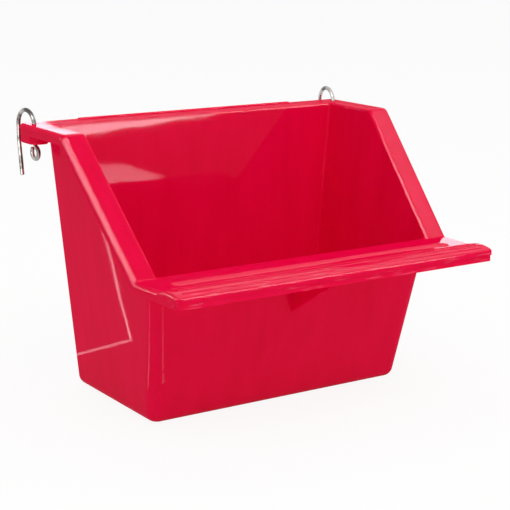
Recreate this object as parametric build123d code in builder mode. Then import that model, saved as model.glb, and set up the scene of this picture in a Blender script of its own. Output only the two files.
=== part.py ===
# Hanging bird bowl: a moulded bowl with a perch, and two wire hooks that swivel in its rear corners.
# Millimetres, +Z up, origin at the middle of the flat base, perch toward -Y, cage bars toward +Y.
from build123d import *
from math import acos, atan2, ceil, cos, degrees, radians, sin, sqrt, tan
import os

os.makedirs("parts", exist_ok=True)

# Bowl walls
base_width = 107.8
base_depth = 58.4
rim_height = 100.2
perch_height = 56.4
side_draft = 5.45
front_lean = 13.1
wall = 1.8
floor_thickness = 2.2
front_corner_radius = 4.7
rear_corner_radius = 2.2
inner_rear_corner_radius = 1.2
base_edge_radius = 3.8
floor_edge_radius = 2.2
mouth_edge_radius = 1.2
sill_edge_radius = 1.2

# Flange round the mouth, with its lip turned down
rim_overhang = 7.2
rear_overhang = 9.2
flat_rim_length = 28.3
flange_thickness = 1.8
lip_drop = 4.0
lip_setback = 0.4
lip_thickness = 1.5
flange_edge_radius = 1.7
flange_corner_radius = 2.0
crest_radius = 3.0
root_radius = 1.5
plan_bend_radius = 40.0
back_bead_length = 94.0
back_bead_width = 2.2
back_bead_height = 0.4
back_bead_margin = 1.3
bead_edge_radius = 0.3

# Perch across the front
perch_overhang = 7.4
perch_reach = 28.0
perch_taper = 1.4
bar_width = 12.9
bar_rise = 1.1
bar_edge_radius = 1.0
rib_count = 3
rib_pitch = 3.2
rib_first = 3.1
rib_radius = 0.9
rib_rise = 0.25
rib_end_margin = 3.5
scoop_width = 6.5
scoop_depth = 0.8
scoop_gap = 1.0
scoop_end_margin = 7.8
gusset_thickness = 1.6
gusset_foot_height = 34.9
gusset_lip_margin = 1.2
gusset_edge_radius = 0.5

# Corner blocks that carry the hooks
block_width = 6.6
block_depth = 11.2
block_height = 7.0
block_edge_radius = 1.0
block_corner_radius = 3.5
block_foot_chamfer = 0.4
countersink = 0.5

# Holes for the hooks, measured in from the flange's side and rear edges
hole_side_margin = 4.0
hole_rear_margin = 6.1

# Wire hooks
wire_diameter = 1.6
hole_clearance = 0.08
hook_span = 11.5
arch_sink = 1.2
leg_length = 19.0
straight_leg_length = 6.3
leg_lean = 6.6
leg_bend_radius = 6.0
eye_radius = 2.3
neck_radius = 1.2
eye_gap = 0.5
eye_play = 0.3
hook_turn = 6.2
wire_tip_chamfer = 0.3
tight_bend_step = 22.5
wide_bend_step = 15.0

# Places that follow from the sizes above
rear_wall_y = base_depth / 2
inner_rear_y = rear_wall_y - wall
flange_rear_y = rear_wall_y + rear_overhang
crest_y = rear_wall_y - flat_rim_length
perch_root_y = -base_depth / 2 - perch_height * tan(radians(front_lean))
nose_y = perch_root_y - perch_reach
slant_angle = atan2(rim_height - perch_height, crest_y - perch_root_y)
sill_front_y = perch_root_y - root_radius * tan(slant_angle / 2)
far = base_depth + rim_height
over_rim = rim_height + lip_drop


def wall_half_width(height):
    return base_width / 2 + height * tan(radians(side_draft))


def front_wall_y(height):
    return -base_depth / 2 - height * tan(radians(front_lean))


rim_half_width = wall_half_width(rim_height) + rim_overhang
root_half_width = wall_half_width(perch_height) + perch_overhang
nose_half_width = root_half_width - perch_reach * tan(radians(perch_taper))
hole_x = rim_half_width - hole_side_margin
hole_y = flange_rear_y - hole_rear_margin
hole_radius = wire_diameter / 2 + hole_clearance
block_foot_z = rim_height - block_height


def side_view(*points):
    # Side view drawn through points of (y, z)
    with BuildSketch(Plane.YZ) as view:
        with BuildLine():
            Polyline(*points, close=True)
        make_face()
    return view.sketch


def between_sides(inset):
    # Front view of all between the two leaning side walls, drawn in by an inset
    foot = wall_half_width(-wall) - inset
    head = wall_half_width(over_rim) - inset
    with BuildSketch(Plane.XZ) as view:
        with BuildLine():
            Polyline((foot, -wall), (head, over_rim), (-head, over_rim), (-foot, -wall), close=True)
        make_face()
    return view.sketch


def below_rim(drop):
    # Side view of all that lies under the rim's top, or under a line that much lower
    shift = drop * tan(slant_angle / 2)
    with BuildSketch(Plane.YZ) as side:
        with BuildLine():
            Polyline(
                (far, rim_height - drop),
                (crest_y + shift, rim_height - drop),
                (perch_root_y + shift, perch_height - drop),
                (-far, perch_height - drop),
                (-far, -far),
                (far, -far),
                close=True,
            )
        make_face()
        fillet(side.vertices().group_by(Axis.X)[1], root_radius + drop)
        fillet(side.vertices().group_by(Axis.X)[-2], max(crest_radius - drop, lip_thickness))
    return side.sketch


def above_mouth():
    # Side view of all above the rim, its slant run on past the perch
    run = rim_height / tan(slant_angle)
    with BuildSketch(Plane.YZ) as side:
        with BuildLine():
            Polyline(
                (rear_wall_y, rim_height),
                (crest_y, rim_height),
                (crest_y - run, 0),
                (-far, 0),
                (-far, over_rim),
                (rear_wall_y, over_rim),
                close=True,
            )
        make_face()
        fillet(side.vertices().sort_by_distance((crest_y, rim_height, 0))[0], crest_radius)
    return side.sketch


def flange_plan(inset):
    # Plan of the flange and the perch, drawn in by an inset
    with BuildSketch() as plan:
        with BuildLine():
            Polyline(
                (rim_half_width, flange_rear_y),
                (rim_half_width, crest_y),
                (root_half_width, perch_root_y),
                (nose_half_width, nose_y),
                (-nose_half_width, nose_y),
                (-root_half_width, perch_root_y),
                (-rim_half_width, crest_y),
                (-rim_half_width, flange_rear_y),
                close=True,
            )
        make_face()
        fillet(plan.vertices().group_by(Axis.Y)[1], plan_bend_radius)
        fillet(plan.vertices().group_by(Axis.Y)[-2], plan_bend_radius)
        fillet(plan.vertices().group_by(Axis.Y)[0], flange_corner_radius)
        fillet(plan.vertices().group_by(Axis.Y)[-1], flange_corner_radius)
        if inset > 0:
            offset(amount=-inset, kind=Kind.INTERSECTION, mode=Mode.REPLACE)
    return plan.sketch


def is_upright(edge):
    return edge.bounding_box().size.Z > perch_height / 2


def is_at_rear(edge):
    return edge.bounding_box().min.Y > inner_rear_y - wall


def is_mouth_edge(edge):
    # Where the inner walls run out into the rim's top
    box = edge.bounding_box()
    inside = abs(edge.center().X) < wall_half_width(edge.center().Z) - wall / 2
    in_front = box.max.Y < rear_wall_y - wall / 2
    return inside and in_front and box.min.Z > -wall / 2 and box.max.Z < rim_height + wall / 2


# Bent plate of the flange and the perch, with its rounded outer edge
with BuildPart() as plate:
    extrude(below_rim(0), amount=rim_half_width, both=True)
    extrude(below_rim(flange_thickness), amount=rim_half_width, both=True, mode=Mode.SUBTRACT)
    extrude(flange_plan(0), amount=rim_height, mode=Mode.INTERSECT)
    top_faces = plate.faces().filter_by(lambda face: face.normal_at().Z > sin(radians(side_draft)))
    side_faces = plate.faces().filter_by(lambda face: abs(face.normal_at().Z) < sin(radians(1)))
    fillet([edge for edge in top_faces.edges() if edge in side_faces.edges()], flange_edge_radius)

# Lip under the outer edge of the plate
with BuildPart() as lip:
    extrude(below_rim(flange_thickness / 2), amount=rim_half_width, both=True)
    extrude(below_rim(lip_drop), amount=rim_half_width, both=True, mode=Mode.SUBTRACT)
    extrude(flange_plan(lip_setback), amount=rim_height, mode=Mode.INTERSECT)
    extrude(flange_plan(lip_setback + lip_thickness), amount=rim_height, mode=Mode.SUBTRACT)

# Low round-backed bar along the nose of the perch
with BuildPart() as bar:
    with BuildSketch(Plane.YZ) as bar_view:
        with BuildLine():
            back = (nose_y + bar_width, perch_height)
            crown = (nose_y + bar_width / 2, perch_height + bar_rise)
            nose = (nose_y, perch_height)
            ThreePointArc(nose, crown, back)
            underside = perch_height - flange_thickness
            Polyline(back, (back[0], underside), (nose_y, underside), nose)
        make_face()
    extrude(amount=nose_half_width + wall, both=True)
    extrude(flange_plan(0), amount=rim_height, mode=Mode.INTERSECT)
    crown_edges = bar.faces().sort_by(Axis.Z)[-1].edges()
    back_edge = crown_edges.filter_by(Axis.X).sort_by(Axis.Y)[-1]
    fillet([edge for edge in crown_edges if edge != back_edge], bar_edge_radius)

# Fine ribs along the bar
bar_round = (bar_width**2 / 4 + bar_rise**2) / (2 * bar_rise)
with BuildPart() as ribs:
    for number in range(rib_count):
        along = rib_first + number * rib_pitch
        crown_z = perch_height + bar_rise - bar_round + sqrt(bar_round**2 - (along - bar_width / 2) ** 2)
        with Locations((0, nose_y + along, crown_z + rib_rise - rib_radius)):
            Cylinder(rib_radius, 2 * (nose_half_width - rib_end_margin), rotation=(0, 90, 0))

# Long shallow scoop behind the bar
scoop_round = (scoop_width**2 / 4 + scoop_depth**2) / (2 * scoop_depth)
with BuildPart() as scoop:
    half = nose_half_width - scoop_end_margin - scoop_width / 2
    scoop_y = nose_y + bar_width + scoop_gap + scoop_width / 2
    with Locations((0, scoop_y, perch_height - scoop_depth + scoop_round)):
        Cylinder(scoop_round, 2 * half, rotation=(0, 90, 0))
        with Locations((half, 0, 0), (-half, 0, 0)):
            Sphere(scoop_round)

# Web that props the perch off the front wall
with BuildPart() as gusset:
    lip_y = nose_y + lip_setback + lip_thickness / 2
    extrude(
        side_view(
            (front_wall_y(gusset_foot_height) + wall / 2, gusset_foot_height),
            (lip_y, perch_height - lip_drop + gusset_lip_margin),
            (lip_y, perch_height - flange_thickness / 2),
            (front_wall_y(perch_height) + wall / 2, perch_height - flange_thickness / 2),
        ),
        amount=gusset_thickness / 2,
        both=True,
    )
    sloped = gusset.faces().sort_by(Axis.Z)[0]
    fillet(sloped.edges().filter_by(lambda edge: edge.bounding_box().size.Y > wall), gusset_edge_radius)

# Blocks under the rear corners of the flange
with BuildPart() as blocks:
    block_x = rim_half_width - lip_setback - block_width / 2
    block_y = flange_rear_y - lip_setback - block_depth / 2
    for side in (-1, 1):
        with Locations((side * block_x, block_y, block_foot_z)):
            Box(
                block_width,
                block_depth,
                block_height - flange_thickness / 2,
                align=(Align.CENTER, Align.CENTER, Align.MIN),
            )
    outer = blocks.edges().filter_by(Axis.Z).filter_by(lambda edge: abs(edge.center().X) > block_x)
    fillet(outer.filter_by(lambda edge: edge.center().Y < block_y), block_corner_radius)
    inner = blocks.edges().filter_by(Axis.Z).filter_by(lambda edge: abs(edge.center().X) < block_x - wall)
    fillet(inner, block_edge_radius)
    extrude(flange_plan(lip_setback), amount=rim_height, mode=Mode.INTERSECT)
    chamfer(blocks.faces().sort_by(Axis.Z)[:2].edges(), block_foot_chamfer)

# Low bead along the back of the flange
with BuildPart() as bead:
    bead_y = flange_rear_y - back_bead_margin - back_bead_width / 2
    with Locations((0, bead_y, rim_height + back_bead_height)):
        Box(
            back_bead_length,
            back_bead_width,
            back_bead_height + flange_thickness / 2,
            align=(Align.CENTER, Align.CENTER, Align.MAX),
        )
    fillet(bead.faces().sort_by(Axis.Z)[-1].edges(), bead_edge_radius)

# Space between the inner side walls and the rear wall, front left open
with BuildPart() as throat:
    extrude(
        side_view((inner_rear_y, 0), (-far, 0), (-far, over_rim), (inner_rear_y, over_rim)),
        amount=far,
        both=True,
    )
    extrude(between_sides(wall), amount=far, both=True, mode=Mode.INTERSECT)
    fillet(throat.edges().filter_by(is_upright).filter_by(is_at_rear), inner_rear_corner_radius)

# Mouth above the perch, flared where it runs out into the rim
with BuildPart() as mouth:
    add(throat.part)
    extrude(above_mouth(), amount=rim_half_width, both=True)
    fillet(mouth.edges().filter_by(is_mouth_edge), mouth_edge_radius)
    extrude(
        side_view(
            (rear_wall_y, perch_height),
            (sill_front_y, perch_height),
            (sill_front_y, over_rim),
            (rear_wall_y, over_rim),
        ),
        amount=far,
        both=True,
        mode=Mode.INTERSECT,
    )
    extrude(between_sides(0), amount=far, both=True, mode=Mode.INTERSECT)

# Inside of the pot under the mouth, flared over the sill
with BuildPart() as pot:
    add(throat.part)
    extrude(
        side_view(
            (rear_wall_y, floor_thickness),
            (front_wall_y(floor_thickness) + wall, floor_thickness),
            (front_wall_y(over_rim) + wall, over_rim),
            (rear_wall_y, over_rim),
        ),
        amount=far,
        both=True,
        mode=Mode.INTERSECT,
    )
    front_edges = pot.edges().filter_by(is_upright).filter_by(lambda edge: edge.center().Y < 0)
    fillet(front_edges, front_corner_radius - wall)
    fillet(pot.faces().sort_by(Axis.Z)[0].edges(), floor_edge_radius)
    extrude(
        side_view((far, perch_height), (-far, perch_height), (-far, over_rim), (far, over_rim)),
        amount=far,
        both=True,
    )
    at_sill = pot.edges().filter_by(lambda edge: abs(edge.center().Z - perch_height) < wall / 2)
    round_pot = at_sill.filter_by(lambda edge: edge.bounding_box().max.Y < rear_wall_y)
    fillet(round_pot.filter_by(lambda edge: edge.center().Y > sill_front_y), sill_edge_radius)
    extrude(
        side_view(
            (rear_wall_y, 0),
            (sill_front_y, 0),
            (sill_front_y, perch_height + wall),
            (rear_wall_y, perch_height + wall),
        ),
        amount=far,
        both=True,
        mode=Mode.INTERSECT,
    )
    add(throat.part, mode=Mode.INTERSECT)

# Bowl, moulded in one
with BuildPart() as bowl:
    extrude(
        side_view(
            (rear_wall_y, 0),
            (front_wall_y(0), 0),
            (front_wall_y(over_rim), over_rim),
            (rear_wall_y, over_rim),
        ),
        amount=far,
        both=True,
    )
    extrude(between_sides(0), amount=far, both=True, mode=Mode.INTERSECT)
    uprights = bowl.edges().filter_by(is_upright)
    fillet(uprights.filter_by(lambda edge: edge.center().Y < 0), front_corner_radius)
    fillet(bowl.edges().filter_by(is_upright).filter_by(is_at_rear), rear_corner_radius)
    fillet(bowl.faces().sort_by(Axis.Z)[0].edges(), base_edge_radius)
    extrude(below_rim(flange_thickness / 2), amount=far, both=True, mode=Mode.INTERSECT)
    add([plate.part, lip.part, bar.part, ribs.part, gusset.part, blocks.part, bead.part])
    add([mouth.part, pot.part, scoop.part], mode=Mode.SUBTRACT)
    with Locations((-hole_x, hole_y, rim_height), (hole_x, hole_y, rim_height)):
        Cylinder(
            hole_radius,
            2 * block_height,
            align=(Align.CENTER, Align.CENTER, Align.CENTER),
            mode=Mode.SUBTRACT,
        )
        Cone(
            hole_radius,
            hole_radius + countersink,
            countersink,
            align=(Align.CENTER, Align.CENTER, Align.MAX),
            mode=Mode.SUBTRACT,
        )
bowl.part.label = "bowl"
export_step(bowl.part, "parts/bowl.step")


# Centreline of the right hook, from its eye up the shank, over the arch and down the leg
turn = radians(hook_turn)
lean = radians(leg_lean)
arch_z = rim_height - arch_sink
neck_z = block_foot_z - eye_play
neck_fall = sqrt(eye_radius**2 + 2 * eye_radius * neck_radius)
neck_sweep = degrees(atan2(neck_fall, neck_radius))
eye_to_neck = eye_radius + neck_radius
eye_stop = neck_radius + wire_diameter + eye_gap
eye_open = degrees(acos((eye_to_neck**2 + eye_radius**2 - eye_stop**2) / (2 * eye_to_neck * eye_radius)))
bend_z = arch_z - straight_leg_length
bend_end_u = hook_span - leg_bend_radius * (1 - cos(lean))
bend_end_z = bend_z - leg_bend_radius * sin(lean)
leg_fall = bend_end_z - (arch_z - leg_length)
bending_plane = Plane(
    origin=(hole_x, hole_y, 0),
    x_dir=(sin(turn), cos(turn), 0),
    z_dir=(cos(turn), -sin(turn), 0),
)
with BuildLine(bending_plane) as centreline:
    CenterArc((0, neck_z - neck_fall), eye_radius, 180 - neck_sweep, 360 - eye_open)
    CenterArc((-neck_radius, neck_z), neck_radius, -neck_sweep, neck_sweep)
    Line((0, neck_z), (0, arch_z))
    CenterArc((hook_span / 2, arch_z), hook_span / 2, 0, 180)
    Line((hook_span, arch_z), (hook_span, bend_z))
    CenterArc((hook_span - leg_bend_radius, bend_z), leg_bend_radius, -leg_lean, leg_lean)
    Line((bend_end_u, bend_end_z), (bend_end_u - leg_fall * tan(lean), bend_end_z - leg_fall))

# Right hook, one bent wire, its bends made up of short straight steps
with BuildPart() as hook_right:
    for run in centreline.edges():
        if run.geom_type == GeomType.CIRCLE:
            is_tight = run.radius <= eye_radius
            steps = ceil(degrees(run.length / run.radius) / (tight_bend_step if is_tight else wide_bend_step))
            for step in range(steps + 1):
                with BuildSketch(run ^ (step / steps)):
                    Circle(wire_diameter / 2)
            loft(ruled=True)
        else:
            with BuildSketch(run ^ 0):
                Circle(wire_diameter / 2)
            sweep(path=run)
    chamfer(hook_right.faces().filter_by(GeomType.PLANE).edges(), wire_tip_chamfer)
hook_right.part.label = "hook_right"
export_step(hook_right.part, "parts/hook_right.step")

# Left hook, the right one's mirror image
with BuildPart() as hook_left:
    mirror(hook_right.part, about=Plane.YZ)
hook_left.part.label = "hook_left"
export_step(hook_left.part, "parts/hook_left.step")
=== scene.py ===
# Hanging bird bowl: glossy red moulded plastic with two bright plated wire hooks, on a white studio table.
from math import cos, pi, radians, sin

import bpy
from mathutils import Matrix, Vector

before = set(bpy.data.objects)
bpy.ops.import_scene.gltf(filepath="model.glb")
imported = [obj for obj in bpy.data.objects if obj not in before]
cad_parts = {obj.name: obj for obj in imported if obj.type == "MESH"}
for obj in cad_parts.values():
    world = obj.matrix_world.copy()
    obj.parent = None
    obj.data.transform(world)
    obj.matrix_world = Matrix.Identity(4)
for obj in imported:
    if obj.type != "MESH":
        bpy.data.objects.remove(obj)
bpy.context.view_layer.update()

MM = 0.001

# Photograph: its side, its optical centre and its focal length, in pixels
photo_side = 510
optical_centre_x = 290.9
optical_centre_y = 279.8
focal_length = 1483.7

# Camera's place and aim, its roll in degrees, and the nearest and farthest that it sees
camera_eye = Vector((-288.4, -466.45, 174.5)) * MM
camera_target = Vector((23.24, -1.65, 36.77)) * MM
camera_roll = 0.236
camera_near = 10 * MM
camera_far = 20.0
film_width = 36.0

# Studio: the table's side in metres, how much of the table is plain white to the camera rather than lit,
# and how strongly the walls light the object
table_side = 12.0
table_white_share = 0.90
studio_strength = 0.61
white_strength = 1.0
plain_light = (1.0, 1.0, 1.0)
glint_light = (1.0, 0.9, 1.0)  # a trace less green, so that the red's highlights stay rose
floor_glint_height = 1 * MM

# What the softboxes face, in metres
pot = (0, 0, 0.07)
pot_left = (-0.06, 0, 0.07)
left_hook = (-0.07, 0.03, 0.1)
rear_flange = (-0.06, 0, 0.1)
right_flange = (0.06, 0, 0.08)
perch_middle = (0, -0.065, 0.057)
perch_right = (0.075, -0.06, 0.057)
perch_left = (-0.056, -0.044, 0.056)

# Directions in which a softbox's width lies
across = (1, 0, 0)
backward = (0, 1, 0)
square_to_view = (0.81, -0.58, 0)

# Softboxes: name, kind, place, what it faces, direction of its width, width, height, brightness
softboxes = (
    ("front_fill", "fill", (-0.12, -0.70, 1.0), pot, across, 0.8, 0.8, 2.3),
    ("top_fill", "fill", (0.1, 0.25, 1.25), pot, across, 0.8, 0.8, 0.9),
    ("edge_glint", "glint", (-0.82, -0.1, 0.72), pot_left, (-0.59, 0.58, -0.57), 1.7, 0.45, 46),
    ("crest_glint", "glint", (0.03, -0.40, 1.20), pot_left, across, 0.42, 0.35, 46),
    ("rear_edge_glint", "glint", (-0.95, 0.80, 0.13), pot_left, (0.65, 0.76, 0), 0.8, 0.25, 30),
    ("wire_top_glint", "wire glint", (-0.6, -0.3, 0.8), left_hook, across, 0.3, 0.5, 8),
    ("wire_side_glint", "wire glint", (-0.5, -0.28, 0.12), left_hook, backward, 0.12, 0.22, 7),
    ("flange_glint", "glint", (0.562, 1.5, 0.462), rear_flange, (0.922, 0, 0.387), 0.5, 0.3, 20),
    ("bead_glint", "glint", (0.57, 0.81, 1.06), pot, square_to_view, 1.1, 1.2, 4.5),
    ("perch_glint", "glint", (1.10, 1.52, 0.56), perch_middle, square_to_view, 0.75, 0.14, 0.2),
    ("perch_end_glint", "glint", (1.385, 1.42, 0.485), perch_right, (0.7, -0.7, 0), 0.22, 0.10, 22),
    ("perch_start_glint", "glint", (0.88, 1.658, 0.532), perch_left, (0.85, -0.5, 0), 0.1, 0.05, 8),
    ("front_edge_glint", "glint", (0.60, -0.82, 0.68), pot, across, 0.4, 0.85, 35),
    ("slant_glint", "glint", (0.79, -0.2, 1.0), right_flange, across, 0.3, 0.35, 9),
)

# Glints lying on the table, mirrored in the walls: name, start and end of one side, depth, brightness
floor_glints = (
    ("rear_wall_glint", (0.20, -0.549), (0.39, -0.612), 0.12, 85),
    ("rear_wall_corner_glint", (0.060, -0.345), (0.193, -0.345), 0.075, 29),
    ("rear_corner_line", (0.09, -0.30), (0.09, -0.46), 0.035, 90),
    ("rear_wall_line", (0.060, -0.2985), (0.1765, -0.2965), 0.003, 12),
    ("side_wall_long_line", (-0.0885, 0.049), (-0.156, 0.206), 0.0008, 24),
    ("side_wall_short_line", (-0.0885, 0.0495), (-0.064, 0.056), 0.003, 12),
    ("left_corner_line", (-0.165, 0.016), (-0.072, -0.015), 0.008, 8),
    ("right_corner_line", (-0.041, -0.115), (-0.047, -0.048), 0.008, 6),
)

# The pieces that each kind of glint lights; a fill lights everything
glint_pieces = {"glint": ("bowl",), "wire glint": ("hook_left", "hook_right")}


def colour(hex_text):
    """An sRGB hex value as linear red, green, blue and full alpha."""
    channels = [int(hex_text[i:i + 2], 16) / 255 for i in (0, 2, 4)]
    linear = [c / 12.92 if c <= 0.04045 else ((c + 0.055) / 1.055) ** 2.4 for c in channels]
    return (*linear, 1.0)


def add_node(tree, kind, settings=None, **inputs):
    """A node with its settings and its inputs, each a value or the socket that feeds it.

    An input is given by its name, with _ for a space, or by its number, as in i0.
    """
    node = tree.nodes.new(kind)
    for name, value in (settings or {}).items():
        setattr(node, name, value)
    for name, value in inputs.items():
        key = int(name[1:]) if name[0] == "i" and name[1:].isdigit() else name.replace("_", " ")
        if isinstance(value, bpy.types.NodeSocket):
            tree.links.new(value, node.inputs[key])
        else:
            node.inputs[key].default_value = value
    return node


def new_material(name):
    """An empty node material with its tree and its output node."""
    material = bpy.data.materials.new(name)
    material.use_nodes = True
    tree = material.node_tree
    tree.nodes.clear()
    return material, tree, tree.nodes.new("ShaderNodeOutputMaterial")


def facing(sideways, upward, towards, place):
    """The matrix that puts a camera or lamp in its place, with its three axes in the given directions."""
    return Matrix.Translation(place) @ Matrix((sideways, upward, towards)).transposed().to_4x4()


def place_camera():
    """The photograph's viewpoint: 34 degrees round to the left of the perch and 14 degrees up."""
    forward = (camera_target - camera_eye).normalized()
    level = forward.cross(Vector((0, 0, 1))).normalized()
    upright = level.cross(forward)
    right = level * cos(radians(camera_roll)) + upright * sin(radians(camera_roll))
    up = right.cross(forward)
    data = bpy.data.cameras.new("camera")
    camera = bpy.data.objects.new("camera", data)
    bpy.context.scene.collection.objects.link(camera)
    camera.matrix_world = facing(right, up, -forward, camera_eye)
    data.sensor_width = film_width
    data.lens = film_width * focal_length / photo_side
    data.shift_x = 0.5 - optical_centre_x / photo_side
    data.shift_y = optical_centre_y / photo_side - 0.5
    data.clip_start = camera_near
    data.clip_end = camera_far
    bpy.context.scene.camera = camera


def moulded_red_polystyrene():
    """Injection-moulded polystyrene in signal red: a deep, even colour under a polished skin.

    What gives it away as moulded is a gloss that wavers a little over the sinks in the walls and
    faint flow streaks up the walls. The perch is scuffed and nicked where birds sit and bite; its pale
    marks are part bite wear and part a painted highlight along the nose's edge.
    """
    deep_red, light_red, bite_and_highlight_pink = colour("E6043C"), colour("ED0643"), colour("F2708A")
    sink_width, flow_width, mark_width, scuff_width = 20 * MM, 7 * MM, 0.9 * MM, 1.5 * MM
    sink_depth, nick_depth = 0.4 * MM, 0.2 * MM
    perch_start, perch_full = -62 * MM, -66 * MM  # along Y, where the marks begin and where they are all there
    nose_underside, nose_side = 48 * MM, 51 * MM  # along Z, the same
    full_gloss, scuffed_gloss = 0.10, 0.08

    material, tree, output = new_material("moulded red polystyrene")
    place = add_node(tree, "ShaderNodeTexCoord").outputs["Object"]

    # Sinks in the walls, and flow streaks drawn out up the walls
    sinks = add_node(
        tree, "ShaderNodeTexNoise", None,
        Vector=place, Scale=1 / sink_width, Detail=1.5, Roughness=0.4,
    )
    upward = add_node(tree, "ShaderNodeMapping", None, Vector=place, Scale=(1.0, 1.0, 0.16))
    flow = add_node(
        tree, "ShaderNodeTexNoise", None,
        Vector=upward.outputs[0], Scale=1 / flow_width, Detail=3.0,
    )
    shade = add_node(
        tree, "ShaderNodeMapRange", None,
        Value=flow.outputs["Fac"], From_Min=0.3, From_Max=0.7, To_Min=0.0, To_Max=1.0,
    )
    body = add_node(
        tree, "ShaderNodeMix", {"data_type": "RGBA"},
        Factor=shade.outputs["Result"], i6=deep_red, i7=light_red,
    )

    # Pale marks along the perch, up to 10 mm long and drawn a little coarse: part bite marks and scratches,
    # part a painted highlight along the nose's edge
    along = add_node(tree, "ShaderNodeMapping", None, Vector=place, Scale=(0.09, 1.0, 1.0))
    bite_and_highlight_noise = add_node(
        tree, "ShaderNodeTexNoise", None,
        Vector=along.outputs[0], Scale=1 / mark_width, Detail=4.0,
    )
    split = add_node(tree, "ShaderNodeSeparateXYZ", None, Vector=place)
    on_perch = add_node(
        tree, "ShaderNodeMapRange", None,
        Value=split.outputs["Y"], From_Min=perch_start, From_Max=perch_full, To_Min=0.0, To_Max=1.0,
    )
    above_nose = add_node(
        tree, "ShaderNodeMapRange", None,
        Value=split.outputs["Z"], From_Min=nose_underside, From_Max=nose_side, To_Min=0.0, To_Max=1.0,
    )
    bite_and_highlight_mask = add_node(
        tree, "ShaderNodeMapRange", None,
        Value=bite_and_highlight_noise.outputs["Fac"], From_Min=0.57, From_Max=0.72, To_Min=0.0, To_Max=0.4,
    )
    for limit in (on_perch, above_nose):
        bite_and_highlight_mask = add_node(
            tree, "ShaderNodeMath", {"operation": "MULTIPLY"},
            i0=bite_and_highlight_mask.outputs[0], i1=limit.outputs[0],
        )
    # Painted highlight: the pale pink mixed in here also stands for light caught along the nose's edge
    body = add_node(
        tree, "ShaderNodeMix", {"data_type": "RGBA"},
        Factor=bite_and_highlight_mask.outputs[0], i6=body.outputs[2], i7=bite_and_highlight_pink,
    )

    # Fine scuffs, coarser than real ones so that they show in the gloss
    scuffs = add_node(
        tree, "ShaderNodeTexNoise", None,
        Vector=place, Scale=1 / scuff_width, Detail=5.0, Roughness=0.65,
    )
    gloss = add_node(
        tree, "ShaderNodeMapRange", None,
        Value=scuffs.outputs["Fac"], From_Min=0.45, From_Max=0.75, To_Min=full_gloss, To_Max=scuffed_gloss,
    )
    waver = add_node(
        tree, "ShaderNodeBump", None,
        Strength=0.12, Distance=sink_depth, Height=sinks.outputs["Fac"],
    )
    nicks = add_node(
        tree, "ShaderNodeBump", {"invert": True},
        Strength=0.3, Distance=nick_depth, Height=bite_and_highlight_mask.outputs[0], Normal=waver.outputs["Normal"],
    )
    shader = add_node(
        tree, "ShaderNodeBsdfPrincipled", None,
        Base_Color=body.outputs[2],
        Roughness=0.45,
        IOR=1.5,
        Specular_IOR_Level=0.0,
        Coat_Weight=gloss.outputs["Result"],
        Coat_Roughness=0.03,
        Coat_IOR=1.5,
        Normal=nicks.outputs["Normal"],
        Coat_Normal=nicks.outputs["Normal"],
    )
    tree.links.new(shader.outputs["BSDF"], output.inputs["Surface"])
    return material


def nickel_plated_wire():
    """Nickel-plated steel wire: bright and a little warm, with dark streaks painted into its colour as the
    dark reflections that the white studio doesn't give it.
    """
    painted_dark_reflection, bright_plating = colour("555150"), colour("C9C5C0")
    streak_length, grain_width = 6 * MM, 0.6 * MM
    material, tree, output = new_material("nickel-plated steel wire")
    place = add_node(tree, "ShaderNodeTexCoord").outputs["Object"]
    # Painted reflection: the dark streaks drawn from this noise stand in for dark surroundings mirrored in the
    # wire
    streaks = add_node(tree, "ShaderNodeTexNoise", None, Vector=place, Scale=1 / streak_length, Detail=2.0)
    grain = add_node(tree, "ShaderNodeTexNoise", None, Vector=place, Scale=1 / grain_width, Detail=2.0)
    shade = add_node(
        tree, "ShaderNodeMapRange", None,
        Value=streaks.outputs["Fac"], From_Min=0.38, From_Max=0.60, To_Min=0.0, To_Max=1.0,
    )
    plating = add_node(
        tree, "ShaderNodeMix", {"data_type": "RGBA"},
        Factor=shade.outputs["Result"], i6=painted_dark_reflection, i7=bright_plating,
    )
    roughness = add_node(
        tree, "ShaderNodeMapRange", None,
        Value=grain.outputs["Fac"], To_Min=0.16, To_Max=0.28,
    )
    shader = add_node(
        tree, "ShaderNodeBsdfPrincipled", None,
        Base_Color=plating.outputs[2],
        Metallic=1.0,
        Roughness=roughness.outputs["Result"],
    )
    tree.links.new(shader.outputs["BSDF"], output.inputs["Surface"])
    return material


def dress_nodes():
    """The moulded bowl and the two wire hooks keep their solids and get their finishes."""
    wire = nickel_plated_wire()
    finishes = {"bowl": moulded_red_polystyrene(), "hook_left": wire, "hook_right": wire}
    for name, material in finishes.items():
        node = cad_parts[name]
        node.data.materials.clear()
        node.data.materials.append(material)


def seen_directly(tree):
    """1 for a ray from the camera, from gloss or through glass, and 0 for light that falls on the object."""
    rays = add_node(tree, "ShaderNodeLightPath")
    seen = add_node(
        tree, "ShaderNodeMath", {"operation": "MAXIMUM"},
        i0=rays.outputs["Is Camera Ray"], i1=rays.outputs["Is Glossy Ray"],
    )
    seen = add_node(
        tree, "ShaderNodeMath", {"operation": "MAXIMUM"},
        i0=seen.outputs[0], i1=rays.outputs["Is Transmission Ray"],
    )
    return seen.outputs[0]


def lay_table():
    """A plain white table that runs on past the picture, seen white but keeping a soft shadow."""
    bpy.ops.mesh.primitive_plane_add(size=table_side, location=(0, 0, 0))
    table = bpy.context.object
    table.name = "white_table"
    material, tree, output = new_material("matt white table")
    share = add_node(
        tree, "ShaderNodeMath", {"operation": "MULTIPLY"},
        i0=seen_directly(tree), i1=table_white_share,
    )
    matt = add_node(tree, "ShaderNodeBsdfDiffuse", None, Color=colour("FDFDFD"))
    white = add_node(tree, "ShaderNodeEmission", None, Color=colour("FFFFFF"), Strength=white_strength)
    both = add_node(
        tree, "ShaderNodeMixShader", None,
        Fac=share.outputs[0], i1=matt.outputs[0], i2=white.outputs[0],
    )
    tree.links.new(both.outputs[0], output.inputs["Surface"])
    table.data.materials.append(material)


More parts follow.
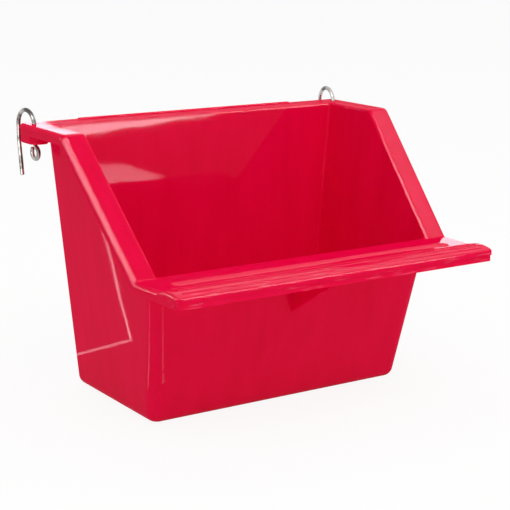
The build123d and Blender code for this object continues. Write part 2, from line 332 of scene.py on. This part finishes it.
def fill_studio():
    """An even white studio: it lights softly, and shows white behind and in the gloss."""
    world = bpy.data.worlds.new("studio")
    bpy.context.scene.world = world
    world.use_nodes = True
    tree = world.node_tree
    tree.nodes.clear()
    output = tree.nodes.new("ShaderNodeOutputWorld")
    soft = add_node(tree, "ShaderNodeBackground", None, Color=colour("FFFFFF"), Strength=studio_strength)
    white = add_node(tree, "ShaderNodeBackground", None, Color=colour("FFFFFF"), Strength=white_strength)
    both = add_node(
        tree, "ShaderNodeMixShader", None,
        Fac=seen_directly(tree), i1=soft.outputs[0], i2=white.outputs[0],
    )
    tree.links.new(both.outputs[0], output.inputs["Surface"])


def receivers_name(kind):
    """The name of the collection that a kind of glint lights."""
    return kind.replace(" ", "_") + "_receivers"


def gather_receivers():
    """The bowl takes the glints and the hooks take the wire glints."""
    for kind, pieces in glint_pieces.items():
        receivers = bpy.data.collections.new(receivers_name(kind))
        for piece in pieces:
            receivers.objects.link(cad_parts[piece])


def add_softbox(name, kind, at, aim, along, width, height, brightness):
    """A rectangular softbox placed and aimed in metres, its width lying along the given direction.

    A brightness of 1 is white. A fill lights every surface, a glint shows only in the bowl's gloss,
    and a wire glint only in the hooks' plating.
    """
    data = bpy.data.lights.new(name, "AREA")
    data.shape = "RECTANGLE"
    data.size = width
    data.size_y = height
    data.energy = brightness * width * height * pi
    data.color = glint_light if kind == "glint" else plain_light
    lamp = bpy.data.objects.new(name, data)
    bpy.context.scene.collection.objects.link(lamp)
    away = (Vector(at) - Vector(aim)).normalized()
    upward = away.cross(Vector(along)).normalized()
    lamp.matrix_world = facing(upward.cross(away), upward, away, at)
    lamp.visible_camera = False
    lamp.visible_glossy = kind != "fill"
    lamp.visible_diffuse = kind == "fill"
    if kind in glint_pieces:
        lamp.light_linking.receiver_collection = bpy.data.collections[receivers_name(kind)]


def add_floor_glint(name, start, end, depth, brightness):
    """A glint that lies on the table with one side from start to end, as far as its depth to their right."""
    start, end = Vector((*start, floor_glint_height)), Vector((*end, floor_glint_height))
    up = Vector((0, 0, 1))
    along = (end - start).normalized()
    centre = (start + end) / 2 + along.cross(up) * depth / 2
    add_softbox(name, "glint", centre, centre + up, along, (end - start).length, depth, brightness)


def light_studio():
    """Two large fills from the front and above, and glints where the photograph's gloss has its lights."""
    gather_receivers()
    for softbox in softboxes:
        add_softbox(*softbox)
    for glint in floor_glints:
        add_floor_glint(*glint)


place_camera()
dress_nodes()
lay_table()
fill_studio()
light_studio()
bpy.context.scene.view_settings.view_transform = "Standard"
